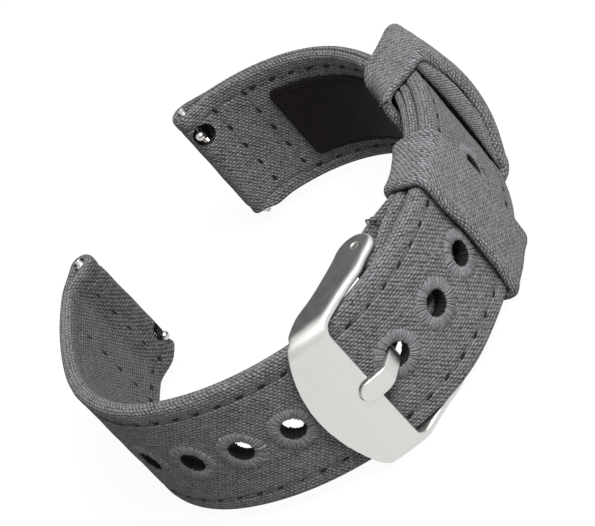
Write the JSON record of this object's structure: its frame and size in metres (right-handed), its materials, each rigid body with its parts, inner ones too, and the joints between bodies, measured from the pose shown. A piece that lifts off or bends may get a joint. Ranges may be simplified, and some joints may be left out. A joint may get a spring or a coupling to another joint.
{
  "type": "canvas watch strap",
  "caption": "Two-piece folded canvas watch strap with stitched eyelets, tang buckle, two keepers, leather backing and quick-release spring bars, buckled into an open loop.",
  "frame": {"origin": "centre of the loop's footprint at its lowest face, the strap lying on its long edge", "axes": "+Z across the strap's width, +X along the loop's longest extent with the buckle towards +X and +Y, -Y towards the gap between the lug ends"},
  "size_m": [0.069, 0.0656, 0.0254],
  "materials": {
    "grey_canvas": "matt woven",
    "keeper_canvas": "matt woven",
    "grey_thread": "matt thread",
    "dark_leather": "satin",
    "brushed_steel": "brushed",
    "bar_steel": "polished",
    "spring_steel": "drawn wire"
  },
  "bodies": {
    "strap": {"long_canvas": "grey_canvas", "short_canvas": "grey_canvas", "leather_backing": "dark_leather", "fixed_keeper": "keeper_canvas", "eyelet_01": "grey_thread", "eyelet_02": "grey_thread", "eyelet_03": "grey_thread", "eyelet_04": "grey_thread", "eyelet_05": "grey_thread", "eyelet_06": "grey_thread", "eyelet_07": "grey_thread", "eyelet_08": "grey_thread", "eyelet_09": "grey_thread", "eyelet_10": "grey_thread"},
    "loose_keeper": {"floating_keeper": "keeper_canvas"},
    "long_bar": {"long_bar_tube": "bar_steel", "long_bar_fixed_tip": "bar_steel", "long_bar_spring": "spring_steel"},
    "long_release": {"long_bar_release_tip": "bar_steel"},
    "short_bar": {"short_bar_tube": "bar_steel", "short_bar_fixed_tip": "bar_steel", "short_bar_spring": "spring_steel"},
    "short_release": {"short_bar_release_tip": "bar_steel"},
    "buckle": {"buckle_frame": "brushed_steel", "buckle_bar_tube": "bar_steel", "buckle_bar_spring": "spring_steel"},
    "buckle_upper_tip": {"buckle_bar_tip_upper": "bar_steel"},
    "buckle_lower_tip": {"buckle_bar_tip_lower": "bar_steel"},
    "tang_body": {"tang": "brushed_steel"}
  },
  "joints": [
    {"name": "keeper_slide", "type": "hinge", "parent": "strap", "child": "loose_keeper", "pos_m": [0.0028, -0.01087, 0.0127], "axis": [0, 0, 1], "range_deg": [-14, 9]},
    {"name": "long_bar_turn", "type": "hinge", "parent": "strap", "child": "long_bar", "pos_m": [-0.00473, -0.03061, 0.0127], "axis": [0, 0, 1], "range_deg": [-8, 8]},
    {"name": "short_bar_turn", "type": "hinge", "parent": "strap", "child": "short_bar", "pos_m": [-0.03011, -0.01735, 0.0127], "axis": [0, 0, 1], "range_deg": [-8, 8]},
    {"name": "long_release_slide", "type": "slide", "parent": "long_bar", "child": "long_release", "axis": [0, 0, 1], "range_m": [0, 0.0012], "stiffness_N_per_m": 600, "springref_m": -0.0008, "deforming": ["long_bar_spring"]},
    {"name": "short_release_slide", "type": "slide", "parent": "short_bar", "child": "short_release", "axis": [0, 0, -1], "range_m": [0, 0.0012], "stiffness_N_per_m": 600, "springref_m": -0.0008, "deforming": ["short_bar_spring"]},
    {"name": "buckle_hinge", "type": "hinge", "parent": "strap", "child": "buckle", "pos_m": [0.01794, 0.02259, 0.0127], "axis": [0, 0, 1], "range_deg": [0, 4]},
    {"name": "buckle_upper_tip_slide", "type": "slide", "parent": "buckle", "child": "buckle_upper_tip", "axis": [0, 0, -1], "range_m": [0, 0.0009], "stiffness_N_per_m": 500, "springref_m": -0.0008, "deforming": ["buckle_bar_spring"]},
    {"name": "buckle_lower_tip_slide", "type": "slide", "parent": "buckle", "child": "buckle_lower_tip", "axis": [0, 0, 1], "range_m": [0, 0.0009], "stiffness_N_per_m": 500, "springref_m": -0.0008},
    {"name": "tang_hinge", "type": "hinge", "parent": "buckle", "child": "tang_body", "pos_m": [0.01794, 0.02259, 0.0127], "axis": [0, 0, 1], "range_deg": [0, 4]}
  ]
}
